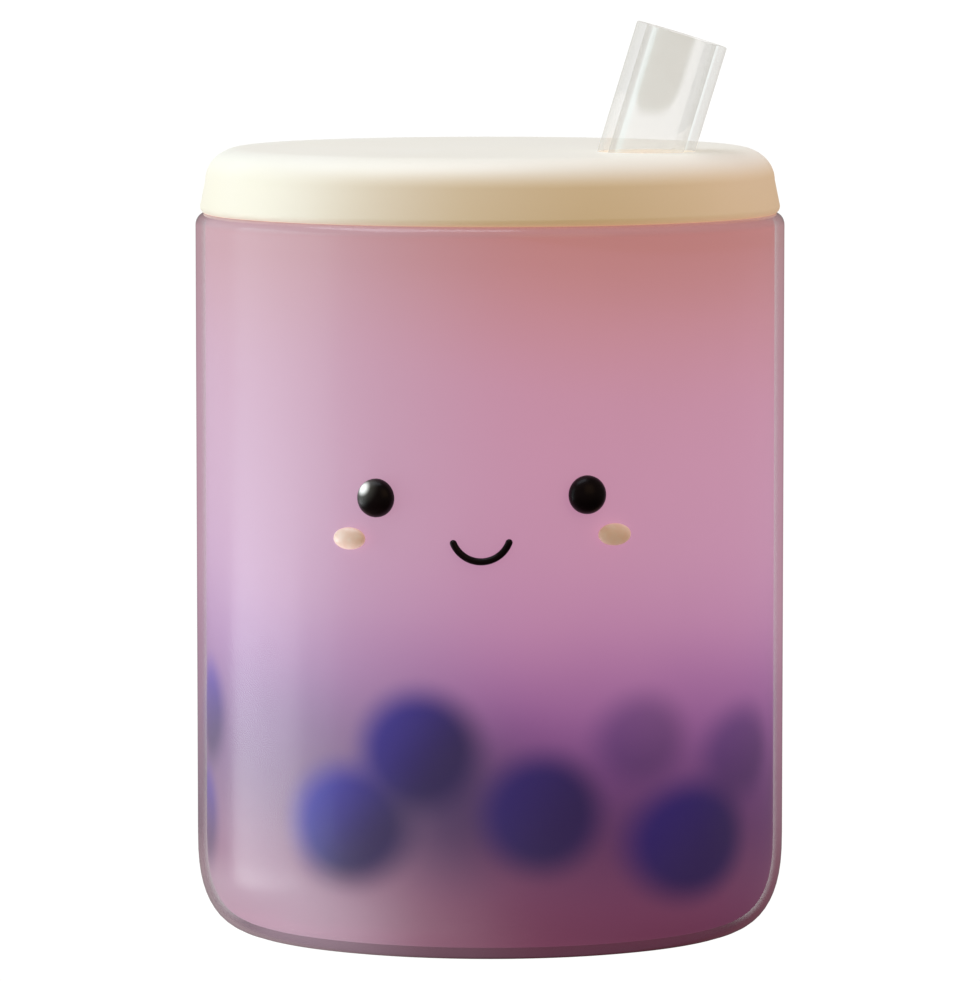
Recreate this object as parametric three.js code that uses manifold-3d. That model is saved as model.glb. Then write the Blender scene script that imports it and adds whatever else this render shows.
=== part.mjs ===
// A taro bubble tea: a frosted cup with a soft round base, filled to the rim with drink, under a thick
// cream lid with a wide clear straw through it. A smiling face stands out a little from the cup's front.
// Millimetres, +Z up, the face looks along -Y, and the origin is the middle of the cup's flat underside.
import * as THREE from "three";
import { mergeVertices } from "three/addons/utils/BufferGeometryUtils.js";
import Module from "manifold-3d";

const wasm = await Module();
wasm.setup();

// Driving dimensions
const CUP_RADIUS = 42; // outside, under the rim
const CUP_DRAFT = 0.1; // how much narrower the wall is where the round base begins
const CUP_HEIGHT = 102.7; // to the top of the rim
const CUP_WALL = 2;
const CUP_FLOOR = 2.2; // thickness of the base
const STRAW_RADIUS = 6.6; // a wide straw that pearls fit through
const STRAW_WALL = 1.5;
const STRAW_TILT = THREE.MathUtils.degToRad(17); // it leans towards +X
const TOUCH_GAP = 0.3; // between pieces that touch

// How finely round things are cut
const ROUND_STEPS = 72; // round the cup, the drink and the lid
const STRAW_STEPS = 32; // round the straw

// Rounded corners of the profiles: how far out and up they reach, and how full they are (2 is an ellipse)
const BASE_CORNER = { out: 9.5, up: 14, power: 2.6, steps: 8 };
const INNER_CORNER = { out: 7.8, up: 12.2, power: 2.6, steps: 7 };
const RIM_ROUND = { out: 1.5, up: 1.7, power: 2, steps: 4 };
const LID_EDGE = { out: 5.2, up: 4.6, power: 2, steps: 7 };
const LID_FOOT_ROUND = { out: 0.8, up: 1, power: 2, steps: 3 };
const MOUTH_CHAMFER = 0.2; // the inner edge of the rim

// The lid rests on the rim
const LID_BOTTOM = CUP_HEIGHT + TOUCH_GAP;
const LID_HEIGHT = 9;
const LID_TOP = LID_BOTTOM + LID_HEIGHT;
const LID_RADIUS = 41.35; // at its widest, just above its foot
const LID_DRAFT = 0.75; // how far the side leans in, up to the rounded edge

// The drink fills the cup to the brim, and stands as high inside the straw
const INNER_RADIUS = CUP_RADIUS - CUP_WALL;
const DRINK_RADIUS = INNER_RADIUS - TOUCH_GAP;
const DRINK_BOTTOM = CUP_FLOOR + TOUCH_GAP;
const DRINK_LEVEL = LID_BOTTOM - TOUCH_GAP;

// The straw's line: where it passes the lid's top, how high it ends and how low it reaches
const STRAW_PASS = new THREE.Vector3(22, -14, LID_TOP);
const STRAW_MOUTH_HEIGHT = 128.5;
const STRAW_FOOT_HEIGHT = 7;
const STRAW_BORE = STRAW_RADIUS - STRAW_WALL;

// The face: a place is an angle round the cup from the face's middle line, and a height
const FACE_TURN = THREE.MathUtils.degToRad(-1.7);
const FACE_TILT = THREE.MathUtils.degToRad(1); // its right side sits a little higher
const EYE = { turn: THREE.MathUtils.degToRad(20.4), height: 65.35, across: 5.4, tall: 5.4, proud: 1.9 };
const CHEEK = { turn: THREE.MathUtils.degToRad(26), height: 59.65, across: 4.9, tall: 3.1, proud: 1 };
const DOME_STEPS = 20;

// The smile is the lower part of a circle, drawn as a thin round bead
const SMILE = { middle: 60.65, radius: 4.15, spread: THREE.MathUtils.degToRad(68), thick: 1 };
const SMILE_POINTS = 12;
const SMILE_SIDES = 8;

// A closed geometry as a solid to cut or join
function solidOf(geometry) {
  const bare = geometry.clone();
  bare.deleteAttribute("normal");
  bare.deleteAttribute("uv");
  const merged = mergeVertices(bare, 1e-4);
  const vertProperties = new Float32Array(merged.attributes.position.array);
  const triVerts = new Uint32Array(merged.index.array);
  return new wasm.Manifold(new wasm.Mesh({ numProp: 3, vertProperties, triVerts }));
}

// A solid as a geometry to show
function geometryOf(solid) {
  const mesh = solid.getMesh();
  const geometry = new THREE.BufferGeometry();
  geometry.setAttribute("position", new THREE.BufferAttribute(new Float32Array(mesh.vertProperties), 3));
  geometry.setIndex(new THREE.BufferAttribute(new Uint32Array(mesh.triVerts), 1));
  geometry.computeVertexNormals();
  return geometry;
}

// A profile of [radius, height] points, from the axis up the outside and back, turned round the Z axis
function turned(profile, steps = ROUND_STEPS) {
  const points = profile.map(([radius, height]) => new THREE.Vector2(radius, height));
  return new THREE.LatheGeometry(points, steps).rotateX(Math.PI / 2);
}

// A rounded corner, from the underside at height z out and up to the radius r
function cornerUp({ out, up, power, steps }, r, z) {
  return Array.from({ length: steps + 1 }, (_, i) => {
    const angle = (i / steps) * (Math.PI / 2);
    const outShare = Math.sin(angle) ** (2 / power);
    const upShare = 1 - Math.cos(angle) ** (2 / power);
    return [r - out + out * outShare, z + up * upShare];
  });
}

// The same corner turned over, from the radius r up and in to the top at height z
function cornerOver(corner, r, z) {
  const flipped = cornerUp(corner, r, 0).map(([x, y]) => [x, z - y]);
  return flipped.reverse();
}

// The cup: up its outside, over the rim, and down its inside
function makeCup() {
  const profile = [
    [0, 0],
    ...cornerUp(BASE_CORNER, CUP_RADIUS - CUP_DRAFT, 0),
    ...cornerOver(RIM_ROUND, CUP_RADIUS, CUP_HEIGHT),
    [INNER_RADIUS + MOUTH_CHAMFER, CUP_HEIGHT],
    [INNER_RADIUS, CUP_HEIGHT - MOUTH_CHAMFER],
    ...cornerUp(INNER_CORNER, INNER_RADIUS, CUP_FLOOR).reverse(),
    [0, CUP_FLOOR],
  ];
  return turned(profile);
}

// The point of the straw's middle line at a height
const strawDirection = new THREE.Vector3(Math.sin(STRAW_TILT), 0, Math.cos(STRAW_TILT));

function onStraw(height) {
  const along = (height - STRAW_PASS.z) / strawDirection.z;
  return STRAW_PASS.clone().addScaledVector(strawDirection, along);
}

// A tube on the straw's line, from its mouth down past its foot by so much
const strawFoot = onStraw(STRAW_FOOT_HEIGHT);
const strawLength = onStraw(STRAW_MOUTH_HEIGHT).distanceTo(strawFoot);

function strawTube(outer, inner, pastFoot = 0) {
  const profile = [
    [inner, -pastFoot],
    [outer, -pastFoot],
    [outer, strawLength],
    [inner, strawLength],
    [inner, -pastFoot],
  ];
  return turned(profile, STRAW_STEPS).rotateY(STRAW_TILT).translate(...strawFoot);
}

function makeStraw() {
  return strawTube(STRAW_RADIUS, STRAW_BORE);
}

// The drink fills the cup, with room left for the straw's wall
function makeDrink() {
  const profile = [
    [0, DRINK_BOTTOM],
    ...cornerUp(INNER_CORNER, DRINK_RADIUS, DRINK_BOTTOM),
    [DRINK_RADIUS, DRINK_LEVEL],
    [0, DRINK_LEVEL],
  ];
  const room = strawTube(STRAW_RADIUS + TOUCH_GAP, STRAW_BORE - TOUCH_GAP, TOUCH_GAP);
  return geometryOf(solidOf(turned(profile)).subtract(solidOf(room)));
}

// The lid: a thick disc with a soft upper edge, and a leaning hole for the straw
function makeLid() {
  const profile = [
    [0, LID_BOTTOM],
    ...cornerUp(LID_FOOT_ROUND, LID_RADIUS, LID_BOTTOM),
    ...cornerOver(LID_EDGE, LID_RADIUS - LID_DRAFT, LID_TOP),
    [0, LID_TOP],
  ];
  const holeRadius = STRAW_RADIUS + TOUCH_GAP;
  const hole = new THREE.CylinderGeometry(holeRadius, holeRadius, strawLength, STRAW_STEPS)
    .rotateX(Math.PI / 2)
    .rotateY(STRAW_TILT)
    .translate(...STRAW_PASS);
  return geometryOf(solidOf(turned(profile)).subtract(solidOf(hole)));
}

// A point so far out from the cup's wall: its angle counts from the front, positive towards +X
function fromWall(out, angle, height) {
  const radius = CUP_RADIUS + out;
  return new THREE.Vector3(radius * Math.sin(angle), -radius * Math.cos(angle), height);
}

// What stands out from the wall is cut off behind, just clear of the cup
function clearOfWall(solid) {
  const radius = CUP_RADIUS + TOUCH_GAP;
  const wall = new THREE.CylinderGeometry(radius, radius, 2 * CUP_HEIGHT, 2 * ROUND_STEPS);
  return geometryOf(solid.subtract(solidOf(wall.rotateX(Math.PI / 2))));
}

// A low dome for an eye or a cheek: side is -1 on the left and 1 on the right, as seen from the front
function makeDome({ turn, height, across, tall, proud }, side) {
  const angle = FACE_TURN + side * turn;
  const lift = side * turn * CUP_RADIUS * Math.tan(FACE_TILT);
  const dome = new THREE.SphereGeometry(1, DOME_STEPS, DOME_STEPS / 2)
    .scale(across / 2, proud, tall / 2)
    .rotateZ(angle)
    .translate(...fromWall(0, angle, height + lift));
  return clearOfWall(solidOf(dome));
}

// The smile: a bead along its arc, which bends round the wall, with a ball at each end
function makeSmile() {
  const arc = Array.from({ length: SMILE_POINTS + 1 }, (_, i) => {
    const swing = SMILE.spread * ((2 * i) / SMILE_POINTS - 1) + FACE_TILT;
    const sideways = SMILE.radius * Math.sin(swing);
    const height = SMILE.middle - SMILE.radius * Math.cos(swing);
    return fromWall(TOUCH_GAP, FACE_TURN + sideways / CUP_RADIUS, height);
  });
  const section = new THREE.Shape().absarc(0, 0, SMILE.thick / 2, 0, 2 * Math.PI);
  const bead = new THREE.ExtrudeGeometry(section, {
    extrudePath: new THREE.CatmullRomCurve3(arc),
    steps: 2 * SMILE_POINTS,
    curveSegments: SMILE_SIDES / 2,
  });
  const balls = [arc[0], arc.at(-1)].map((end) =>
    solidOf(new THREE.SphereGeometry(SMILE.thick / 2, SMILE_SIDES, SMILE_SIDES).translate(...end)),
  );
  const whole = balls.reduce((joined, ball) => joined.add(ball), solidOf(bead));
  return clearOfWall(whole);
}

// What each material looks like
const looks = {
  frostedCup: { color: 0xd9c4d6, roughness: 0.35, metalness: 0, transparent: true, opacity: 0.35 },
  taroDrink: { color: 0xc48fa8, roughness: 0.6, metalness: 0 },
  creamLid: { color: 0xf3ead2, roughness: 0.5, metalness: 0 },
  clearStraw: { color: 0xf4f4f0, roughness: 0.05, metalness: 0, transparent: true, opacity: 0.3 },
  glossBlack: { color: 0x17120f, roughness: 0.15, metalness: 0 },
  creamCheek: { color: 0xe8cfae, roughness: 0.35, metalness: 0 },
};

function piece(name, geometry, look) {
  const mesh = new THREE.Mesh(geometry, new THREE.MeshStandardMaterial(look));
  mesh.name = name;
  return mesh;
}

const face = new THREE.Group();
for (const [name, side] of Object.entries({ left: -1, right: 1 })) {
  face.add(piece(`eye_${name}`, makeDome(EYE, side), looks.glossBlack));
  face.add(piece(`cheek_${name}`, makeDome(CHEEK, side), looks.creamCheek));
}
face.add(piece("smile", makeSmile(), looks.glossBlack));

const bubbleTea = new THREE.Group();
bubbleTea.add(
  piece("cup", makeCup(), looks.frostedCup),
  piece("drink", makeDrink(), looks.taroDrink),
  piece("lid", makeLid(), looks.creamLid),
  piece("straw", makeStraw(), looks.clearStraw),
  face,
);

export default bubbleTea;
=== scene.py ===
# %% [markdown]
# # A taro bubble tea
#
# The object is one drink, ready to sip: a stout cup of frosted plastic with a rounded base, filled to the
# rim with purple milk tea, dark tapioca pearls sunk in its lower third, a thick cream lid and a wide clear
# straw that leans to the right. Two bead eyes, two cheeks and a thin smile stand out on the front.
#
# The solids come from a frame that was made first. This lesson makes a finer, better looking piece for each
# of them, in the same place and size, and gives every piece a finish made of nodes.

# %% Load the frame
import math
import random

import bpy
from mathutils import Matrix, Vector


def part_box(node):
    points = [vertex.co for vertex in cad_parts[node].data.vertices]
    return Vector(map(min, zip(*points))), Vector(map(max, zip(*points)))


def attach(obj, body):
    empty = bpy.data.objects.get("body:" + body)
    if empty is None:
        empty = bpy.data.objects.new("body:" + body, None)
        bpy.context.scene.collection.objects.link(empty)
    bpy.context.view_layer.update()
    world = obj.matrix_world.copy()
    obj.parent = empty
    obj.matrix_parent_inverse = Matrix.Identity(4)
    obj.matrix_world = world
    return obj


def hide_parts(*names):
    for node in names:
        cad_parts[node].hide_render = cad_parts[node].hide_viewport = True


MM = 0.001  # sizes are named in millimetres, and Blender works in metres

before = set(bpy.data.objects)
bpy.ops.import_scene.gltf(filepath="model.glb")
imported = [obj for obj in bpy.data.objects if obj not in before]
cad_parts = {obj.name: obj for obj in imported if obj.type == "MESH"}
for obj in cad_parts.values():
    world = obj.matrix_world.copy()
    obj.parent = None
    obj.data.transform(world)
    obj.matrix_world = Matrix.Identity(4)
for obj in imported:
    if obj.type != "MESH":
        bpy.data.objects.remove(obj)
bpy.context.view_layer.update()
print("solids:", sorted(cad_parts))

# %% [markdown]
# ## Sizes
#
# A piece that stands for a solid has to fill the same space. The outer sizes are therefore read from the
# solids' boxes. Only what a box can't say is named here again: walls, and how corners are rounded. A corner
# is a quarter of a superellipse: how far it reaches out, how far up, and how full it is (2 is an ellipse).

# %% Sizes of the cup, the lid and the straw
def box_of(node):
    """The lowest and highest corner of a solid, in millimetres."""
    low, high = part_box(node)
    return low / MM, high / MM


cup_high = box_of("cup")[1]
lid_high = box_of("lid")[1]
straw_low, straw_high = box_of("straw")

CUP_RADIUS = cup_high.x
CUP_HEIGHT = cup_high.z
CUP_DRAFT = 0.1  # how much narrower the wall is where the round base begins
CUP_WALL = 2.0
CUP_FLOOR = 2.2
INNER_RADIUS = CUP_RADIUS - CUP_WALL
BASE_CORNER = (9.5, 14.0, 2.6)
INNER_CORNER = (7.8, 12.2, 2.6)
RIM_ROUND = (1.5, 1.7, 2.0)
MOUTH_ROUND = (0.3, 0.3, 2.0)

LID_RADIUS = lid_high.x
LID_TOP = lid_high.z
LID_BOTTOM = CUP_HEIGHT  # the lid lies on the rim
LID_DRAFT = 0.75  # how far the lid's side leans in
LID_EDGE = (5.2, 4.6, 2.0)
LID_FOOT_ROUND = (0.8, 1.0, 2.0)

STRAW_RADIUS = (straw_high.y - straw_low.y) / 2
STRAW_WALL = 1.5
STRAW_BORE = STRAW_RADIUS - STRAW_WALL
STRAW_TILT = math.radians(17)
print(f"cup {2 * CUP_RADIUS:.1f} wide and {CUP_HEIGHT:.1f} high")
print(f"lid top at {LID_TOP:.1f}, straw {2 * STRAW_RADIUS:.1f} wide")

# %% [markdown]
# ## Camera
#
# The cup's sides stay nearly parallel and its seams bend only a little, so it was seen from far off with a
# narrow lens, from a little above the rim. The lens is long (306 mm on a 36 mm frame), the camera stands
# 1.19 m in front, and it is aimed at the point that lies in the middle of the frame.

# %% Camera
CAMERA_DISTANCE = 1190
CAMERA_HEIGHT = 163
AIM_HEIGHT = 62.85
LENS = 306.3
SENSOR_WIDTH = 36


def aimed(item, target):
    """Turns a camera or a light so that it looks at a point."""
    item.rotation_euler = (Vector(target) - item.location).to_track_quat("-Z", "Y").to_euler()


camera = bpy.data.objects.new("camera", bpy.data.cameras.new("camera"))
bpy.context.scene.collection.objects.link(camera)
camera.data.lens = LENS
camera.data.sensor_width = SENSOR_WIDTH
camera.location = (0, -CAMERA_DISTANCE * MM, CAMERA_HEIGHT * MM)
aimed(camera, (0, 0, AIM_HEIGHT * MM))
bpy.context.scene.camera = camera
camera_slope = math.atan((CAMERA_HEIGHT - AIM_HEIGHT) / CAMERA_DISTANCE)
print(f"camera looks down {math.degrees(camera_slope):.1f} degrees")

# %% [markdown]
# ## Shader maths
#
# A finish here is worked out from the place of each point, as a formula. Blender writes formulas as nodes,
# which are slow to read, so one small class wraps a socket and lets Python's operators add the Math nodes.
# Another class holds the material in the making. Its method `node` adds any other node: first its settings,
# then the values or links of its sockets. Colours go through Mix, because a Math node would turn them grey.
#
# Most finishes here glow a little. They light nothing by it, so each material says that its glow isn't to be
# searched for as if it were a lamp, which saves time and grain.

# %% A socket with operators, and a material in the making
class Signal:
    """A node's output: an expression on it adds the Math nodes that work it out."""

    def __init__(self, finish, socket):
        self.finish = finish
        self.socket = socket

    def math(self, operation, first, second):
        return self.finish.node("ShaderNodeMath", {"operation": operation}, {0: first, 1: second})

    def __add__(self, other):
        return self.math("ADD", self, other)

    def __sub__(self, other):
        return self.math("SUBTRACT", self, other)

    def __rsub__(self, other):
        return self.math("SUBTRACT", other, self)

    def __mul__(self, other):
        return self.math("MULTIPLY", self, other)

    def __truediv__(self, other):
        return self.math("DIVIDE", self, other)

    def smooth(self, low, high):
        """0 below low and 1 above high, with a soft step between them."""
        settings = {"interpolation_type": "SMOOTHSTEP"}
        values = {"Value": self, "From Min": low, "From Max": high}
        return self.finish.node("ShaderNodeMapRange", settings, values)


class Finish:
    """A material in the making, or the light of the world around the object."""

    def __init__(self, name, kind="Material"):
        self.kind = kind
        self.made = bpy.data.materials.new(name) if kind == "Material" else bpy.data.worlds.new(name)
        self.made.use_nodes = True
        self.tree = self.made.node_tree
        self.tree.nodes.clear()

    def node(self, kind, settings=None, values=None, output=0):
        """Adds a node of any type: its settings first, then its sockets' values or links."""
        made = self.tree.nodes.new(kind)
        for name, value in (settings or {}).items():
            if name == "stops":
                fill_ramp(made.color_ramp, value)
            else:
                setattr(made, name, value)
        for name, value in (values or {}).items():
            if isinstance(value, Signal):
                self.tree.links.new(value.socket, made.inputs[name])
            else:
                made.inputs[name].default_value = value
        return Signal(self, made.outputs[output])

    def place(self):
        """Where a point lies on the object, in millimetres."""
        spot = self.node("ShaderNodeTexCoord", output="Object")
        return self.node("ShaderNodeVectorMath", {"operation": "SCALE"}, {0: spot, "Scale": 1 / MM})

    def part_of(self, vector, axis):
        """One number of a vector: 0 is X, 1 is Y and 2 is Z."""
        return self.node("ShaderNodeSeparateXYZ", values={0: vector}, output=axis)

    def measured(self, operation, first, second=(0, 0, 0)):
        """One number from a vector or two, such as a length, a distance or a dot product."""
        return self.node("ShaderNodeVectorMath", {"operation": operation}, {0: first, 1: second}, output=1)

    def noise(self, place, size, detail=1.0):
        """Soft noise around 0.5, with patches about as large as size, in millimetres."""
        values = {"Vector": place, "Scale": 1 / size, "Detail": detail}
        return self.node("ShaderNodeTexNoise", values=values)

    def mix(self, amount, first, second):
        """From the first colour to the second."""
        return self.node("ShaderNodeMix", {"data_type": "RGBA"}, {0: amount, 6: first, 7: second}, output=2)

    def bump(self, height, strength, depth):
        """Relief from a height of 0 to 1, as deep as depth in millimetres."""
        values = {"Strength": strength, "Distance": depth * MM, "Height": height}
        return self.node("ShaderNodeBump", values=values)

    def finished(self, shader):
        """Sends a shader to the surface, and gives what was made."""
        node_out = self.tree.nodes.new(f"ShaderNodeOutput{self.kind}")
        self.tree.links.new(shader.socket, node_out.inputs["Surface"])
        if self.kind == "Material":
            self.made.cycles.emission_sampling = "NONE"
        print("finish", self.made.name, "has", len(self.tree.nodes), "nodes")
        return self.made


def fill_ramp(ramp, stops):
    """Gives a colour ramp its stops, each a place from 0 to 1 and a colour."""
    ramp.interpolation = "B_SPLINE"
    while len(ramp.elements) < len(stops):
        ramp.elements.new(1.0)
    for element, (where, colour) in zip(ramp.elements, stops):
        element.position = where
        element.color = colour


# %% [markdown]
# Colours are named as a painter would read them off a screen, from 0 to 255 each. Light adds up linearly, so
# a shader wants them as amounts of light, which this helper works out.

# %% Colours by their screen values
def colour(red, green, blue):
    """A screen colour as amounts of light, for a shader, by the usual curve of screens."""
    def light(value):
        share = value / 255
        return share / 12.92 if share <= 0.04045 else ((share + 0.055) / 1.055) ** 2.4

    return (light(red), light(green), light(blue), 1.0)


# %% [markdown]
# ## Studio
#
# The drink stands in a white studio whose floor curves up into its walls, so no horizon shows. It only has
# to be there for the camera: paper that glows by itself is evenly white, and it neither lights the object
# from below nor shows in its gloss.
#
# It is a turned shape like the cup, so the helpers that make meshes come first. Every mesh here is made of
# rings of points, each joined to the next. In a turned profile, each ring is a circle.

# %% A mesh from rings of points, and from a turned profile
ROUND_STEPS = 192  # round the cup, the tea and the lid


def ring_faces(rings, first=0, closed=False):
    """The faces that join rings of points, numbered on from first. A ring of one point is a pole."""
    numbered = []
    for ring in rings:
        numbered.append([first + number for number in range(len(ring))])
        first += len(ring)
    steps = max(len(ring) for ring in rings)
    following = numbered[1:] + numbered[:1] if closed else numbered[1:]
    faces = []
    for lower, upper in zip(numbered, following):
        for step in range(steps):
            corners = [
                lower[step % len(lower)],
                lower[(step + 1) % len(lower)],
                upper[(step + 1) % len(upper)],
                upper[step % len(upper)],
            ]
            faces.append(list(dict.fromkeys(corners)))
    return faces


def ringed_mesh(name, rings, closed=False):
    """A mesh from rings of points, in millimetres."""
    mesh = bpy.data.meshes.new(name)
    mesh.from_pydata([point * MM for ring in rings for point in ring], [], ring_faces(rings, closed=closed))
    return mesh


def turned(name, profile, steps=ROUND_STEPS, ring=False):
    """A closed mesh from a profile of (radius, height). A ring's profile closes on itself."""
    rings = []
    for radius, height in profile:
        turns = [math.tau * step / steps for step in range(steps if radius > 0 else 1)]
        rings.append([Vector((radius * math.cos(turn), radius * math.sin(turn), height)) for turn in turns])
    return ringed_mesh(name, rings, closed=ring)


# %% [markdown]
# The studio's profile is a flat floor, a curved corner and a wall. Its paper has hardly any pattern.

# %% Floor and walls in one
FLOOR_RADIUS = 4200
FLOOR_LEVEL = -0.2  # just under the drink
COVE_RADIUS = 1200
COVE_STEPS = 12
WALL_HEIGHT = 5000
STUDIO_STEPS = 64
PAPER_PATCH = 0.5  # metres across a patch of slightly darker white
PAPER_GLOW = 1.05

studio_profile = [(0, FLOOR_LEVEL), (FLOOR_RADIUS - COVE_RADIUS, FLOOR_LEVEL)]
for step in range(1, COVE_STEPS + 1):
    cove_angle = math.pi / 2 * step / COVE_STEPS
    cove_out = FLOOR_RADIUS - COVE_RADIUS + COVE_RADIUS * math.sin(cove_angle)
    studio_profile.append((cove_out, COVE_RADIUS * (1 - math.cos(cove_angle))))
studio_profile.append((FLOOR_RADIUS, WALL_HEIGHT))
studio_mesh = turned("studio", studio_profile, STUDIO_STEPS)
studio_mesh.shade_smooth()
studio = bpy.data.objects.new("studio", studio_mesh)
bpy.context.scene.collection.objects.link(studio)
studio.visible_diffuse = False
studio.visible_glossy = False
studio.visible_shadow = False

paper = Finish("white_paper")
paper_shade = paper.noise(paper.node("ShaderNodeTexCoord", output="Object"), PAPER_PATCH)
paper_white = paper.mix(paper_shade, colour(253, 253, 252), colour(255, 255, 254))
paper_shader = paper.node("ShaderNodeEmission", values={"Color": paper_white, "Strength": PAPER_GLOW})
studio_mesh.materials.append(paper.finished(paper_shader))

# %% [markdown]
# The key light is a large cool softbox on the left. It lights the left of the lid and of the frosted wall,
# and its mirror image is the pale band down the cup. Two lower ones are what a bright table beside the cup
# would throw back: the mirror image of one stands in front of the pearls on the left, and the other lights
# the rounded base. A warm light from the front tints the lid's shaded side, a weak one lights the right edge,
# and a soft one from above lights the top. The one at the base and the one at the right edge aren't mirrored
# in the cup.
#
# All are hidden from the camera. A faint even light comes from all round, but hardly any of it from below.

# %% Lights
LIGHTS = {  # direction from the front, height angle, distance, width, height, watts, colour
    "key_left": (-87, 4, 0.45, 0.44, 0.45, 1.05, colour(210, 241, 243)),
    "band_left": (-96, -13, 0.41, 0.29, 0.12, 0.46, colour(250, 250, 255)),
    "low_left": (-66, -52, 0.125, 0.14, 0.06, 0.105, colour(252, 246, 252)),
    "warm_front": (28, 25, 0.90, 0.60, 0.60, 0.82, colour(255, 204, 150)),
    "edge_right": (105, 8, 0.60, 0.20, 0.40, 0.84, colour(255, 222, 226)),
    "soft_top": (-85, 75, 0.80, 0.60, 0.60, 4.0, colour(232, 241, 255)),
}
UNMIRRORED = {"edge_right", "low_left"}
ROOM_LIGHT = 0.17
ROOM_LIGHT_BELOW = 0.025
CUP_MIDDLE = Vector((0, 0, CUP_HEIGHT * MM / 2))


def add_softbox(name, around, up, distance, width, height, watts, tint):
    """A rectangular light, placed by its direction and distance from the middle of the cup."""
    lamp = bpy.data.lights.new(name, "AREA")
    lamp.shape = "RECTANGLE"
    lamp.size = width
    lamp.size_y = height
    lamp.energy = watts
    lamp.color = tint[:3]
    softbox = bpy.data.objects.new(name, lamp)
    bpy.context.scene.collection.objects.link(softbox)
    turn, rise = math.radians(around), math.radians(up)
    direction = Vector((math.sin(turn) * math.cos(rise), -math.cos(turn) * math.cos(rise), math.sin(rise)))
    softbox.location = CUP_MIDDLE + direction * distance
    softbox.visible_camera = False
    softbox.visible_glossy = name not in UNMIRRORED
    aimed(softbox, CUP_MIDDLE)


for light_name, light_settings in LIGHTS.items():
    add_softbox(light_name, *light_settings)

sky = Finish("soft_room", "World")
sky_rise = sky.part_of(sky.node("ShaderNodeTexCoord", output="Generated"), 2)
sky_strength = sky_rise.smooth(-0.6, -0.05) * (ROOM_LIGHT - ROOM_LIGHT_BELOW) + ROOM_LIGHT_BELOW
sky_values = {"Color": colour(255, 250, 246), "Strength": sky_strength}
bpy.context.scene.world = sky.finished(sky.node("ShaderNodeBackground", values=sky_values))
bpy.context.scene.view_settings.view_transform = "Standard"
print("lights:", list(LIGHTS))

# %% [markdown]
# ## Rounded profiles
#
# Cup, tea, lid and straw are all round, so each is a turned profile too, like clay on a wheel. It goes from
# the axis up the outside and back to the axis, so the mesh is closed. The straw's profile closes on itself
# instead, which leaves its bore open. The next helpers give the points of a rounded corner.

# %% The points of a rounded corner
CORNER_STEPS = 14  # along a rounded corner


def corner_up(corner, radius, height):
    """A rounded corner, from an underside at a height out and up to a radius."""
    out, up, power = corner
    points = []
    for step in range(CORNER_STEPS + 1):
        angle = math.pi / 2 * step / CORNER_STEPS
        out_share = math.sin(angle) ** (2 / power)
        up_share = 1 - abs(math.cos(angle)) ** (2 / power)
        points.append((radius - out + out * out_share, height + up * up_share))
    return points


def corner_over(corner, radius, height):
    """The same corner turned over, from a radius up and in to a top at a height."""
    return [(x, height - y) for x, y in reversed(corner_up(corner, radius, 0))]


# %% [markdown]
# Every piece is put in the scene in the same way. It rides on the part's one body, and the solids that it
# stands for are hidden. Shading is smooth, but edges sharper than 35 degrees stay crisp.

# %% Putting a piece in the scene
SHARP_EDGE = math.radians(35)


def placed(name, mesh, material, slot, *nodes):
    """Puts a piece in the scene, with its finish, in the place of the named solids."""
    mesh.shade_smooth()
    mesh.set_sharp_from_angle(angle=SHARP_EDGE)
    piece = bpy.data.objects.new(name, mesh)
    bpy.context.scene.collection.objects.link(piece)
    piece.data.materials.append(material)
    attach(piece, "root")
    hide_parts(*nodes)
    low, high = ([round(value / MM, 1) for value in piece.bound_box[corner]] for corner in (0, 6))
    print(name, "has", len(mesh.polygons), "faces, from", low, "to", high)


def cut(mesh, tool_mesh):
    """What is left of a mesh when another is cut out of it."""
    whole, tool = (bpy.data.objects.new(name, data) for name, data in (("whole", mesh), ("tool", tool_mesh)))
    for item in (whole, tool):
        bpy.context.scene.collection.objects.link(item)
    boolean = whole.modifiers.new("cut", "BOOLEAN")
    boolean.operation = "DIFFERENCE"
    boolean.solver = "EXACT"
    boolean.object = tool
    depsgraph = bpy.context.evaluated_depsgraph_get()
    left = bpy.data.meshes.new_from_object(whole.evaluated_get(depsgraph))
    left.name = mesh.name
    for item in (whole, tool):
        bpy.data.objects.remove(item)
    return left


# %% [markdown]
# ## The tea's colour
#
# Milk tea with taro is lilac. In the photo it is warmer near the lid, where light falls in from above, more
# purple in the middle, and brownish rose near the base. The warmth at the top is painted light, and the dark
# purple and rose low down are painted shade, where the heap of pearls and the base keep the light out. It is
# cloudy, so nothing in it has a sharp edge. The cup's wall takes on the same colours, so one function gives
# them to both finishes, by height.

# %% Colours of the tea by height
# the tea's lilac, with painted light near the lid and painted shade low down
TEA_COLOURS_AND_SHADE = {  # height in millimetres, and the colour there
    0: colour(92, 44, 62),
    10: colour(118, 78, 98),
    22: colour(106, 68, 108),
    36: colour(122, 98, 132),
    50: colour(134, 128, 145),
    76: colour(138, 132, 145),
    101: colour(135, 118, 122),
}
# a painted glow for light coming out of the tea, darker in the pearls' layer and at the base as painted shade
GLOW_AND_SHADE_COLOURS = {  # the same for the light that comes out of it
    0: colour(92, 36, 58),
    10: colour(104, 50, 82),
    20: colour(60, 26, 70),
    30: colour(92, 46, 104),
    38: colour(140, 82, 138),
    48: colour(176, 118, 156),
    60: colour(186, 132, 160),
    80: colour(188, 132, 157),
    92: colour(185, 126, 136),
    102: colour(176, 114, 112),
}
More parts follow.
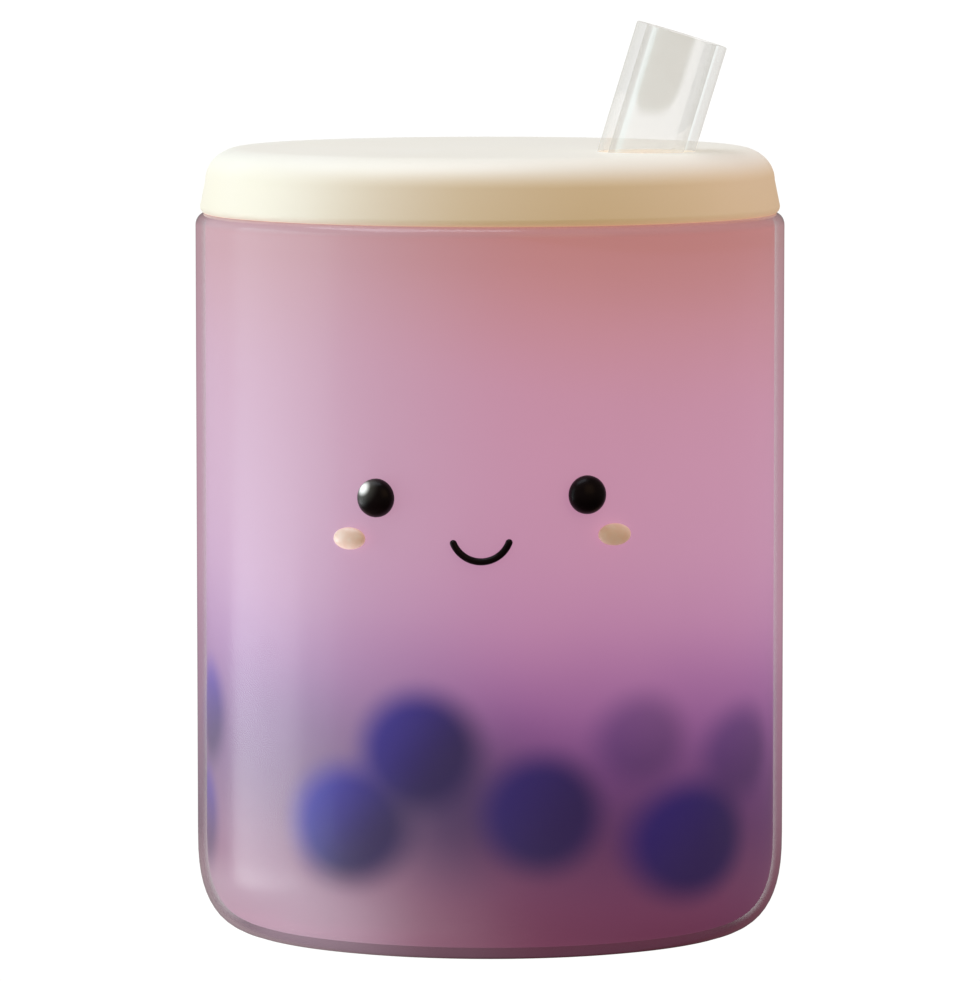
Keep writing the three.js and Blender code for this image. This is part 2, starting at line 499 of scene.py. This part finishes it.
# the wall's painted glow where one looks along it, darkest at the base as painted shade
WALL_GLOW_AND_SHADE = {  # and for the wall, where one looks along it
    0: colour(40, 2, 12),
    7: colour(112, 56, 72),
    20: colour(138, 92, 110),
    38: colour(174, 120, 148),
    50: colour(198, 147, 167),
    80: colour(197, 144, 165),
    102: colour(190, 144, 146),
}
COLOUR_TILT = 0.1  # the colours lie a little lower on the right
CLOUD_SIZE = 30
CLOUD_LIFT = 6  # how much higher a colour lies in one cloud than in another


def level_in(finish, place):
    """How high a point lies in the tea, as a share of the cup's height, a little unevenly."""
    cloud = finish.noise(place, CLOUD_SIZE) * CLOUD_LIFT - CLOUD_LIFT / 2
    return (finish.part_of(place, 2) + finish.part_of(place, 0) * COLOUR_TILT + cloud) / CUP_HEIGHT


def by_height(finish, level, colours):
    """Colours that change with the height."""
    stops = [(height / CUP_HEIGHT, tint) for height, tint in colours.items()]
    return finish.node("ShaderNodeValToRGB", {"stops": stops}, {0: level})


# %% [markdown]
# ## The pearls
#
# Tapioca pearls are soft dark balls, 13.5 mm wide in a drink for a straw this wide. They sink, and lie
# heaped in the lower third. Eight lie so near the wall that the photo shows them, two of those at its left
# edge. Their places are given as an angle round the cup, a height and how far they are from the wall. The
# rest can't be seen, so they are dropped at random places by a seeded rule: inside the cup, clear of each
# other and of the straw, and away from the front wall. At the back some lie near the wall too, left and right
# of its middle.

# %% Where the pearls lie
PEARL_RADIUS = 6.75
PEARL_CLEARANCE = 0.15
FRONT_PEARLS = [  # angle in degrees, height and gap to the wall in millimetres
    (-14.0, 29.8, 0.6),
    (-29.0, 19.2, 0.7),
    (10.4, 21.1, 0.9),
    (44.3, 16.1, 0.8),
    (31.5, 31.1, 5.5),
    (60.6, 27.5, 4.6),
    (-78.0, 32.0, 3.5),
    (-82.0, 16.7, 4.0),
]
MORE_PEARLS = 16
HEAP_TOP = 40.0
BACK = (100, 160)  # degrees to either side of the front, between which a pearl may touch the wall
BACK_GAP = 0.5
INNER_GAP = 9
WIDEST_GAP = 24

straw_lean = Vector((math.sin(STRAW_TILT), 0, math.cos(STRAW_TILT)))
straw_foot = Vector(
    (
        straw_low.x + STRAW_RADIUS * straw_lean.z,
        (straw_low.y + straw_high.y) / 2,
        straw_low.z + STRAW_RADIUS * straw_lean.x,
    )
)
inner_corner_points = corner_up(INNER_CORNER, INNER_RADIUS, CUP_FLOOR)


def spot_at(angle, height, gap):
    """A pearl's middle, from its angle round the cup, its height and its gap to the wall."""
    reach = INNER_RADIUS - PEARL_RADIUS - gap
    turn = math.radians(angle)
    return Vector((reach * math.sin(turn), -reach * math.cos(turn), height))


def has_room(spot, others):
    """True if a pearl fits there: inside the cup, clear of the straw and of the other pearls."""
    reach = spot.xy.length
    room = PEARL_RADIUS + PEARL_CLEARANCE
    corner_gap = min(math.hypot(reach - x, spot.z - y) for x, y in inner_corner_points)
    along = max((spot - straw_foot).dot(straw_lean), 0)
    straw_gap = (spot - straw_foot - straw_lean * along).length - STRAW_RADIUS
    pearl_gap = min((spot - other).length for other in others) - PEARL_RADIUS
    in_cup = reach + room < INNER_RADIUS and spot.z - room > CUP_FLOOR
    return in_cup and min(corner_gap, straw_gap, pearl_gap) > room


dice = random.Random(7)
pearls = [spot_at(*place) for place in FRONT_PEARLS]
while len(pearls) < len(FRONT_PEARLS) + MORE_PEARLS:
    angle = dice.uniform(-180, 180)
    height = dice.uniform(CUP_FLOOR + PEARL_RADIUS, HEAP_TOP)
    gap = dice.uniform(BACK_GAP if BACK[0] < abs(angle) < BACK[1] else INNER_GAP, WIDEST_GAP)
    candidate = spot_at(angle, height, gap)
    if has_room(candidate, pearls):
        pearls.append(candidate)
nearest = min((one - other).length for one in pearls for other in pearls if one is not other)
highest = max(pearl.z for pearl in pearls)
print(len(pearls), "pearls, the nearest two", round(nearest, 1), "apart, the highest at", round(highest))

# %% [markdown]
# A pearl isn't a perfect ball: cooked tapioca is a little lumpy. Each is a ball of its own size and squash,
# with a low lump or two, and all of them are one mesh, because they are all of one stuff.

# %% The pearls' mesh and finish
PEARL_SIDES = 32
PEARL_SQUASH = 0.96  # the least share of its full size that a pearl has along an axis
LUMP = 0.015  # how far its lumps rise and its hollows sink, as a share of its radius


def pearl_rings(middle, seed):
    """One lumpy ball, as rings of points from its lower pole to its upper one."""
    own = random.Random(seed)
    squash = Vector(own.uniform(PEARL_SQUASH, 1.0) for _ in range(3))
    phases = [own.uniform(0, math.tau) for _ in range(2)]
    rings = []
    for ring in range(PEARL_SIDES // 2 + 1):
        rise = math.pi * ring / (PEARL_SIDES // 2)
        points = []
        for step in range(PEARL_SIDES if 0 < rise < math.pi else 1):
            turn = math.tau * step / PEARL_SIDES
            lump = 1 - LUMP * (1 + math.sin(2 * turn + phases[0]) * math.sin(3 * rise + phases[1]))
            across = math.sin(rise)
            spoke = Vector((across * math.cos(turn), across * math.sin(turn), -math.cos(rise)))
            points.append(middle + spoke * squash * lump * PEARL_RADIUS)
        rings.append(points)
    return rings


pearl_vertices, pearl_faces = [], []
for number, middle in enumerate(pearls):
    ball = pearl_rings(middle, number)
    pearl_faces += ring_faces(ball, len(pearl_vertices))
    pearl_vertices += [point * MM for ring in ball for point in ring]
pearl_mesh = bpy.data.meshes.new("pearls")
pearl_mesh.from_pydata(pearl_vertices, [], pearl_faces)

tapioca = Finish("tapioca")
tapioca_place = tapioca.place()
tapioca_cloud = tapioca.noise(tapioca_place, 3)
tapioca_shader = tapioca.node(
    "ShaderNodeBsdfPrincipled",
    values={
        "Base Color": tapioca.mix(tapioca_cloud, colour(34, 20, 58), colour(66, 50, 118)),
        "Roughness": tapioca_cloud * 0.15 + 0.2,
        "Normal": tapioca.bump(tapioca.noise(tapioca_place, 1.2), 0.3, 0.1),
    },
)
placed("pearls", pearl_mesh, tapioca.finished(tapioca_shader), "tea")

# %% [markdown]
# ## The tea
#
# The tea fills the cup. Where a liquid meets its cup there is no air between them, so its mesh reaches a
# little way into the wall of the cup and of the straw, and up to the lid. It is turned, and then a tube in
# the straw's wall is cut out of it, so tea also stands inside the straw.

# %% The tea's mesh
INTO_WALL = 0.6
INTO_STRAW = 0.2
INTO_LID = 0.1
STRAW_STEPS = 64

straw_mouth_height = straw_high.z - STRAW_RADIUS * straw_lean.x
straw_length = (straw_mouth_height - straw_foot.z) / straw_lean.z


def leaned(mesh):
    """Moves a mesh that stands on the origin to the straw's foot, and leans it as the straw leans."""
    mesh.transform(Matrix.Translation(straw_foot * MM) @ Matrix.Rotation(STRAW_TILT, 4, "Y"))
    return mesh


def straight_tube(name, outer, inner, bottom, top):
    """An upright tube, as a ring's profile with square ends."""
    profile = [(inner, bottom), (outer, bottom), (outer, top), (inner, top)]
    return turned(name, profile, STRAW_STEPS, ring=True)


tea_radius = INNER_RADIUS + INTO_WALL
tea_bottom = CUP_FLOOR - INTO_WALL
tea_profile = [
    (0, tea_bottom),
    *corner_up(INNER_CORNER, tea_radius, tea_bottom),
    (tea_radius, LID_BOTTOM - RIM_ROUND[1]),
    (INNER_RADIUS + INTO_LID, LID_BOTTOM + INTO_LID),
    (0, LID_BOTTOM + INTO_LID),
]
straw_room = straight_tube(
    "straw_room", STRAW_RADIUS - INTO_STRAW, STRAW_BORE + INTO_STRAW, INTO_STRAW, straw_length + 1
)
tea_mesh = cut(turned("tea", tea_profile), leaned(straw_room))

# %% [markdown]
# ## The tea's finish
#
# The pearls show through the cloudy tea as soft dark blots, bluer on the side where the light comes from. A
# true cloudy volume would need far more samples than a picture like this gets, and no exported model could
# hold it. So the tea's surface is given what the cloud shows. The round wall is unrolled into a flat sheet,
# which makes this simple: a pearl's blot is a disc on the sheet, straight in front of the pearl. The deeper a
# pearl lies, the fainter and softer is its blot.
#
# Light that went into the tea comes out on all sides of it, so a part of its colour is given off as a glow,
# which is paler on the side where the light comes in, most of all at the base.

# %% The look of pearls through the tea
KEY_AROUND = math.radians(LIGHTS["key_left"][0])
KEY_RISE = 0.7  # light also falls on the pearls from above
PEARL_COLOURS = (colour(10, 2, 46), colour(42, 28, 158))  # away from the key light and towards it
PEARL_GLOWS = (colour(24, 0, 66), colour(26, 8, 130))
BLOT_RADIUS = 7.5  # the cloud draws a pearl a little wider than it is
WHOLE_TO = 0.72  # shares of that radius: as far as this a blot is whole
GONE_AT = 1.5  # and here it is gone
LESS_WITH_DEPTH = 0.06  # for each millimetre of tea in front of the pearl, both are less
LEAST_LIT = 0.25  # how blue a blot gets on the side turned away from the light
SHOWS_AT_WALL = 0.98  # how much of a pearl at the wall shows
FADE_DEPTH = 6.0  # millimetres of tea that hide most of a pearl
DEEPEST = 7.0  # pearls deeper than this don't show
WIDEST_BLOT = 1.4  # round tea is a lens, which draws what is seen aslant in it wider
SEEN_ASLANT = math.radians(70)  # farther round than this, it is seen straight on from the side
NOOK_AROUND = math.radians(-7)  # the shaded nook between three pearls in front
NOOK_HEIGHT = 21.0
NOOK_REACH = BLOT_RADIUS * 1.9
NOOK_SHADE = 0.6


def unrolled(finish, place):
    """A point of the round wall, unrolled flat: sideways from the front's middle line, and its height."""
    sideways, ahead, up = (finish.part_of(place, axis) for axis in range(3))
    turn = finish.node("ShaderNodeMath", {"operation": "ARCTAN2"}, {0: sideways, 1: 0 - ahead})
    return finish.node("ShaderNodeCombineXYZ", values={"X": turn * INNER_RADIUS, "Y": up})


def blot_at(finish, flat, around, height, inside, outside):
    """How a point lies from the middle of a blot on the wall, and how much of the blot shows there."""
    widened = min(1 / math.cos(around), WIDEST_BLOT) if abs(around) < SEEN_ASLANT else 1
    values = {0: flat, 1: (1 / widened, 1, 1), 2: (-around * INNER_RADIUS / widened, -height, 0)}
    offset = finish.node("ShaderNodeVectorMath", {"operation": "MULTIPLY_ADD"}, values)
    return offset, finish.measured("LENGTH", offset).smooth(outside, inside)


def with_pearls(finish, place, tint, glow):
    """Adds to the tea's colour and glow what shows of each pearl near the wall, and the painted shade of the
    nook in front.
    """
    flat = unrolled(finish, place)
    nook = blot_at(finish, flat, NOOK_AROUND, NOOK_HEIGHT, 0, NOOK_REACH)[1] * NOOK_SHADE
    tint = finish.mix(nook, tint, PEARL_COLOURS[0])
    glow = finish.mix(nook, glow, PEARL_GLOWS[0])
    for middle in pearls:
        gap = INNER_RADIUS - middle.xy.length - PEARL_RADIUS
        if gap > DEEPEST:
            continue
        around = math.atan2(middle.x, -middle.y)
        inside = BLOT_RADIUS * (WHOLE_TO - gap * LESS_WITH_DEPTH)
        outside = BLOT_RADIUS * (GONE_AT - gap * LESS_WITH_DEPTH)
        offset, seen = blot_at(finish, flat, around, middle.z, inside, outside)
        blot = seen * (SHOWS_AT_WALL * math.exp(-max(gap - 1, 0) / FADE_DEPTH))
        from_key = KEY_AROUND - around
        towards_key = Vector((math.sin(from_key), KEY_RISE, 0)).normalized()
        turned_to_key = min(max(0.3 + 1.1 * math.cos(from_key), LEAST_LIT), 1)
        lit = finish.measured("DOT_PRODUCT", offset, towards_key).smooth(-5, 9) * turned_to_key
        tint = finish.mix(blot, tint, finish.mix(lit, *PEARL_COLOURS))
        glow = finish.mix(blot, glow, finish.mix(lit, *PEARL_GLOWS))
    return tint, glow


LIT_SIDE_GLOW = colour(190, 177, 190)
LIT_SIDE_SHARE = 0.22  # how much of it is mixed in
LIT_BASE_SHARE = 0.32  # and how much more at the base

tea = Finish("taro_milk_tea")
tea_place = tea.place()
tea_level = level_in(tea, tea_place)
tea_aside = tea.part_of(tea_place, 0)
lit_base = tea_aside.smooth(-8, -28) * tea.part_of(tea_place, 2).smooth(14, 7)
lit_side = tea_aside.smooth(8, -24) * LIT_SIDE_SHARE + lit_base * LIT_BASE_SHARE
side_glow = tea.mix(lit_side, by_height(tea, tea_level, GLOW_AND_SHADE_COLOURS), LIT_SIDE_GLOW)
tea_tint, tea_glow = with_pearls(tea, tea_place, by_height(tea, tea_level, TEA_COLOURS_AND_SHADE), side_glow)
tea_shader = tea.node(
    "ShaderNodeBsdfPrincipled",
    values={
        "Base Color": tea_tint,
        "Roughness": 0.5,
        "Emission Color": tea_glow,
        "Emission Strength": 1.0,
    },
)
placed("tea", tea_mesh, tea.finished(tea_shader), "tea", "drink")

# %% [markdown]
# ## The cup
#
# The cup is moulded from frosted plastic: a smooth skin that mirrors a little, over a wall with a faint milky
# veil. Real frosting bends and blurs light inside the wall, which takes many samples. A see-through shader
# mixed with a milky one gives the same look at once: the veil is thin where one looks straight in, and closes
# towards the sides, where one looks along the wall. Layer Weight gives that angle. There the wall glows in
# the tea's colours, a painted light, darkest at the base as painted shade. Along the rounded base the wall is
# dark rose, a painted shade, and paler on the side where the light comes in, a painted light. The rim is
# polished.

# %% The cup's mesh and finish
cup_profile = [
    (0, 0),
    *corner_up(BASE_CORNER, CUP_RADIUS - CUP_DRAFT, 0),
    *corner_over(RIM_ROUND, CUP_RADIUS, CUP_HEIGHT),
    *reversed(corner_over(MOUTH_ROUND, -INNER_RADIUS, CUP_HEIGHT)),
    *reversed(corner_up(INNER_CORNER, INNER_RADIUS, CUP_FLOOR)),
    (0, CUP_FLOOR),
]
cup_profile = [(abs(x), y) for x, y in cup_profile]

PLASTIC_IOR = 1.45
VEIL = 0.065  # how much of what is behind it the frosting hides
VEIL_DRIFT = 0.04  # how unevenly
RIM_VEIL = 0.13  # how much more the polished rim hides
VEIL_WHITE = colour(240, 232, 242)
SHINE = 0.6  # the frosted skin's share of a polished skin's reflection
POLISHED_FROM = CUP_HEIGHT - 1.7  # from this height up the wall turns polished
POLISHED_AT = CUP_HEIGHT - 0.9

frosted = Finish("frosted_plastic")
frosted_place = frosted.place()
frost = frosted.noise(frosted_place, 12)
skin_relief = frosted.bump(frosted.noise(frosted_place, 5, 0), 0.1, 0.05)
frosted_height = frosted.part_of(frosted_place, 2)
polish = frosted_height.smooth(POLISHED_FROM, POLISHED_AT)
clear = frosted.node("ShaderNodeBsdfTransparent", values={"Color": (1, 1, 1, 1)})
milky = frosted.node("ShaderNodeBsdfDiffuse", values={"Color": VEIL_WHITE})
hiding = frost * VEIL_DRIFT + polish * RIM_VEIL + (VEIL - VEIL_DRIFT / 2)
veiled = frosted.node("ShaderNodeMixShader", values={0: hiding, 1: clear, 2: milky})

wall_grey = frosted.mix(frost, colour(76, 82, 88), colour(86, 92, 98))
# painted light and shade on the rounded base: dark rose away from the light, paler towards it
towards_light = frosted.part_of(frosted_place, 0).smooth(8, -30)
base_light_and_shade = frosted.mix(towards_light, colour(44, 14, 20), colour(128, 116, 118))
# seen along the wall, it glows in the tea's colours: painted light
along_wall = frosted.node(
    "ShaderNodeBsdfPrincipled",
    values={
        "Base Color": frosted.mix(frosted_height.smooth(8, 18), base_light_and_shade, wall_grey),
        "Roughness": 0.6,
        "Specular IOR Level": 0.0,
        "Emission Color": by_height(frosted, level_in(frosted, frosted_place), WALL_GLOW_AND_SHADE),
        "Emission Strength": 1.0,
    },
)
facing = frosted.node("ShaderNodeLayerWeight", values={"Blend": 0.5}, output="Facing")
wall = frosted.node("ShaderNodeMixShader", values={0: facing.smooth(0.70, 0.88), 1: veiled, 2: along_wall})
skin_roughness = frost * 0.06 + 0.2 - polish * 0.1
gloss = frosted.node("ShaderNodeBsdfAnisotropic", values={"Roughness": skin_roughness, "Normal": skin_relief})
shine = frosted.node("ShaderNodeFresnel", values={"IOR": PLASTIC_IOR}) * (polish * (1 - SHINE) + SHINE)
cup_shader = frosted.node("ShaderNodeMixShader", values={0: shine, 1: wall, 2: gloss})
placed("cup", turned("cup", cup_profile), frosted.finished(cup_shader), "cup_plastic", "cup")

# %% [markdown]
# ## The lid
#
# The lid is a thick disc of cream plastic with a soft upper edge and a slightly rounded foot, where it meets
# the rim. A hole for the straw goes through it, as wide as the straw, so the straw is a snug fit. Its finish
# is satin: the colour drifts a little, and a very fine relief keeps the highlight from being a mirror. Light
# that wanders through the plastic is a painted warm glow, warmest on the shaded side and palest on the top,
# where the light from above falls: painted light and shade.

# %% The lid's mesh and finish
lid_profile = [
    (0, LID_BOTTOM),
    *corner_up(LID_FOOT_ROUND, LID_RADIUS, LID_BOTTOM),
    *corner_over(LID_EDGE, LID_RADIUS - LID_DRAFT, LID_TOP),
    (0, LID_TOP),
]
hole_profile = [(0, 0), (STRAW_RADIUS, 0), (STRAW_RADIUS, straw_length), (0, straw_length)]
lid_mesh = cut(turned("lid", lid_profile), leaned(turned("hole", hole_profile, STRAW_STEPS)))

cream = Finish("cream_plastic")
cream_place = cream.place()
# painted light: the glow is paler on the top, where light falls from above, and warmest on the shaded right
# side
top_light_share = cream.part_of(cream_place, 2).smooth(LID_TOP - 4, LID_TOP - 0.3)
cream_lit = cream.part_of(cream_place, 0).smooth(0, -30)
side_glow_and_shade = cream.mix(cream_lit, colour(255, 206, 114), colour(252, 216, 164))
cream_shader = cream.node(
    "ShaderNodeBsdfPrincipled",
    values={
        "Base Color": cream.mix(cream.noise(cream_place, 14), colour(249, 244, 230), colour(252, 249, 240)),
        "Roughness": cream.noise(cream_place, 3) * 0.1 + 0.42,
        "Normal": cream.bump(cream.noise(cream_place, 0.6), 0.2, 0.02),
        "Emission Color": cream.mix(top_light_share, side_glow_and_shade, colour(246, 236, 216)),
        "Emission Strength": 0.27,
    },
)
placed("lid", lid_mesh, cream.finished(cream_shader), "lid_plastic", "lid")

# %% [markdown]
# ## The straw
#
# The straw is a thick clear tube with cut ends, so its profile is a long rectangle with four small round
# corners. Real glass shading bends light in its wall, but takes many samples and shows only what stands
# behind. Clear plastic in a white studio is mostly seen by how it hides that: a little where one looks
# straight through, and more at its sides. So a see-through shader is mixed with a pale one by that angle,
# under a glossy skin. The pale one glows, a painted light. The bore carries a painted warm reflection of the
# lid, which ends in a round foot above it.

# %% The straw's mesh and finish
STRAW_EDGE = 0.25  # rounding of the cut ends
EDGE_STEPS = 4
WARM_ASIDE = -0.9  # sideways from the straw's axis to the middle of the warm reflection
WARM_WIDTH = 7
WARM_FROM = 4.4  # millimetres above the lid at which it begins
WARM_FULL = 6.6


def rounded_ring(outer, inner, length, rounding):
    """The profile of a tube whose four corners are rounded."""
    middles = [
        (outer - rounding, rounding, -90),
        (outer - rounding, length - rounding, 0),
        (inner + rounding, length - rounding, 90),
        (inner + rounding, rounding, 180),
    ]
    points = []
    for x, y, start in middles:
        for step in range(EDGE_STEPS + 1):
            angle = math.radians(start + 90 * step / EDGE_STEPS)
            points.append((x + rounding * math.cos(angle), y + rounding * math.sin(angle)))
    return points


straw_profile = rounded_ring(STRAW_RADIUS, STRAW_BORE, straw_length, STRAW_EDGE)
straw_mesh = leaned(turned("straw", straw_profile, STRAW_STEPS, ring=True))

clear_plastic = Finish("clear_plastic")
clear_place = clear_plastic.place()
haze = clear_plastic.noise(clear_place, 6)
through = clear_plastic.node("ShaderNodeBsdfTransparent", values={"Color": (1, 1, 1, 1)})
straw_across = Vector((straw_lean.z, 0, -straw_lean.x))
warm_middle = straw_foot.dot(straw_across) + WARM_ASIDE
from_warm = clear_plastic.measured("DOT_PRODUCT", clear_place, straw_across) - warm_middle
off_middle = from_warm * from_warm / WARM_WIDTH
foot_curve = off_middle * off_middle
above_lid = clear_plastic.part_of(clear_place, 2) - LID_TOP
# where the painted reflection of the lid lies in the bore: above the lid, with a round foot
warm = (above_lid - foot_curve * 2).smooth(WARM_FROM, WARM_FULL) * (1 - foot_curve.smooth(0.4, 2.2))
# the pale walls glow, a painted light, which turns to the painted reflection of the lid in the bore
pale = clear_plastic.node(
    "ShaderNodeBsdfPrincipled",
    values={
        "Base Color": clear_plastic.mix(haze, colour(146, 144, 138), colour(160, 158, 152)),
        "Roughness": 0.4,
        "Specular IOR Level": 0.0,
        "Emission Color": clear_plastic.mix(warm, colour(200, 198, 192), colour(130, 122, 96)),
        "Emission Strength": 1.0,
    },
)
turned_away = clear_plastic.node("ShaderNodeLayerWeight", values={"Blend": 0.5}, output="Facing")
hidden = turned_away.smooth(0.3, 1) * 0.3 + (haze * 0.06 + 0.13)
walls = clear_plastic.node("ShaderNodeMixShader", values={0: hidden, 1: through, 2: pale})
skin = clear_plastic.node("ShaderNodeBsdfAnisotropic", values={"Roughness": haze * 0.04 + 0.05})
skin_shine = clear_plastic.node("ShaderNodeFresnel", values={"IOR": PLASTIC_IOR}) * 0.2
clear_shader = clear_plastic.node("ShaderNodeMixShader", values={0: skin_shine, 1: walls, 2: skin})
placed("straw", straw_mesh, clear_plastic.finished(clear_shader), "straw_plastic", "straw")

# %% [markdown]
# ## The face
#
# The eyes are two glossy black beads and the cheeks two small cream ovals, each a low dome on the wall. A
# dome is made on a disc: rings of points, each as high as an ellipsoid is there. The disc is then wrapped
# round the cup, so that the dome's edge lies on the wall all the way round and dips just under its skin.

# %% Domes wrapped round the wall
FACE_TURN = math.radians(-1.7)
FACE_TILT = math.radians(1)  # its right side sits a little higher
EYE = {"turn": 20.4, "height": 65.35, "across": 5.4, "tall": 5.4, "proud": 1.9}
CHEEK = {"turn": 26.0, "height": 59.65, "across": 4.9, "tall": 3.1, "proud": 1.0}
DOME_RINGS = 12
DOME_SIDES = 48
UNDER_SKIN = 0.12


def on_wall(sideways, height, out):
    """A point by how far it lies along the wall from the front's middle line, and how far out of the wall."""
    turn = sideways / CUP_RADIUS
    reach = CUP_RADIUS + out
    return Vector((reach * math.sin(turn), -reach * math.cos(turn), height))


def dome(name, form, side):
    """A dome on the wall, left (-1) or right (1) of the face's middle line."""
    from_face = side * math.radians(form["turn"]) * CUP_RADIUS
    middle = FACE_TURN * CUP_RADIUS + from_face
    level = form["height"] + from_face * math.tan(FACE_TILT)
    rings = [[on_wall(middle, level, form["proud"])]]
    for ring in range(1, DOME_RINGS + 1):
        rise = math.pi / 2 * ring / DOME_RINGS
        out = form["proud"] * math.cos(rise) if ring < DOME_RINGS else -UNDER_SKIN
        points = []
        for step in range(DOME_SIDES):
            turn = math.tau * step / DOME_SIDES
            sideways = form["across"] / 2 * math.sin(rise) * math.cos(turn)
            upwards = form["tall"] / 2 * math.sin(rise) * math.sin(turn)
            points.append(on_wall(middle + sideways, level + upwards, out))
        rings.append(points)
    rings.append([on_wall(middle, level, -UNDER_SKIN)])
    return ringed_mesh(name, rings[::-1])


# %% [markdown]
# The two eyes share one black finish, and the two cheeks a cream one. The glint is a painted highlight: a
# soft pale spot round one point on the left eye, where it mirrors a lamp, so the right eye has none.

# %% Finishes of the eyes and cheeks
LEFT_EYE = (FACE_TURN - math.radians(EYE["turn"])) * CUP_RADIUS
GLINT_SPOT = on_wall(LEFT_EYE - 1.35, EYE["height"] + 1.2, 1.4)

bead = Finish("black_bead")
bead_place = bead.place()
glint_away = bead.measured("DISTANCE", bead_place, GLINT_SPOT)
bead_black = bead.mix(bead.noise(bead_place, 1.5), colour(14, 6, 7), colour(28, 18, 17))
# painted highlight: a soft pale sheen round the glint, and the glint's white core, which also glows
bead_sheen = bead.mix((1 - glint_away.smooth(0.4, 2.6)) * 0.18, bead_black, colour(226, 222, 208))
glint = 1 - glint_away.smooth(0.15, 1.35)
bead_shader = bead.node(
    "ShaderNodeBsdfPrincipled",
    values={
        "Base Color": bead.mix(glint, bead_sheen, colour(240, 240, 236)),
        "Roughness": bead.noise(bead_place, 2) * 0.08 + 0.26,
        "Specular IOR Level": 0.12,
        "Emission Color": bead.mix(glint, (0.0, 0.0, 0.0, 1.0), (0.7, 0.7, 0.68, 1.0)),
        "Emission Strength": 1.0,
    },
)
bead_material = bead.finished(bead_shader)

cheek = Finish("cream_cheek")
cheek_place = cheek.place()
cheek_shader = cheek.node(
    "ShaderNodeBsdfPrincipled",
    values={
        "Base Color": cheek.mix(cheek.noise(cheek_place, 1.2), colour(232, 196, 182), colour(250, 232, 226)),
        "Roughness": cheek.noise(cheek_place, 1.5) * 0.1 + 0.3,
        "Normal": cheek.bump(cheek.noise(cheek_place, 0.4), 0.15, 0.02),
        # a faint warm glow, painted light that keeps the cheeks bright in shade
        "Emission Color": colour(240, 192, 138),
        "Emission Strength": 0.26,
    },
)
cheek_material = cheek.finished(cheek_shader)

for side_name, side in {"left": -1, "right": 1}.items():
    eye_name, cheek_name = f"eye_{side_name}", f"cheek_{side_name}"
    placed(f"{eye_name}_bead", dome(eye_name, EYE, side), bead_material, "face_black", eye_name)
    placed(f"{cheek_name}_dome", dome(cheek_name, CHEEK, side), cheek_material, "face_cream", cheek_name)

# %% [markdown]
# The smile is a thin round bead of the same black, laid along the lower part of a circle: rings of points
# round the line, which shrink to a point at its two ends, so that the ends are round. The line follows the
# wall, and its middle lies just above the skin.

# %% The smile
SMILE_MIDDLE = 60.65
SMILE_RADIUS = 4.15
SMILE_SPREAD = math.radians(68)
SMILE_THICK = 1.0
SMILE_OUT = 0.12
SMILE_STEPS = 60
SMILE_SIDES = 16

half_length = SMILE_RADIUS * SMILE_SPREAD + SMILE_THICK / 2
smile_rings = []
for step in range(SMILE_STEPS + 1):
    share = -math.cos(math.pi * step / SMILE_STEPS)
    along = share * half_length
    past_end = max(abs(along) - (half_length - SMILE_THICK / 2), 0)
    thickness = math.sqrt(max((SMILE_THICK / 2) ** 2 - past_end**2, 0))
    swing = along / SMILE_RADIUS + FACE_TILT
    points = []
    for side_step in range(SMILE_SIDES if 0 < step < SMILE_STEPS else 1):
        turn = math.tau * side_step / SMILE_SIDES
        reach = SMILE_RADIUS + thickness * math.cos(turn)
        sideways = FACE_TURN * CUP_RADIUS + reach * math.sin(swing)
        height = SMILE_MIDDLE - reach * math.cos(swing)
        points.append(on_wall(sideways, height, SMILE_OUT + thickness * math.sin(turn)))
    smile_rings.append(points)
smile_mesh = ringed_mesh("smile", smile_rings)
placed("smile_line", smile_mesh, bead_material, "face_black", "smile")
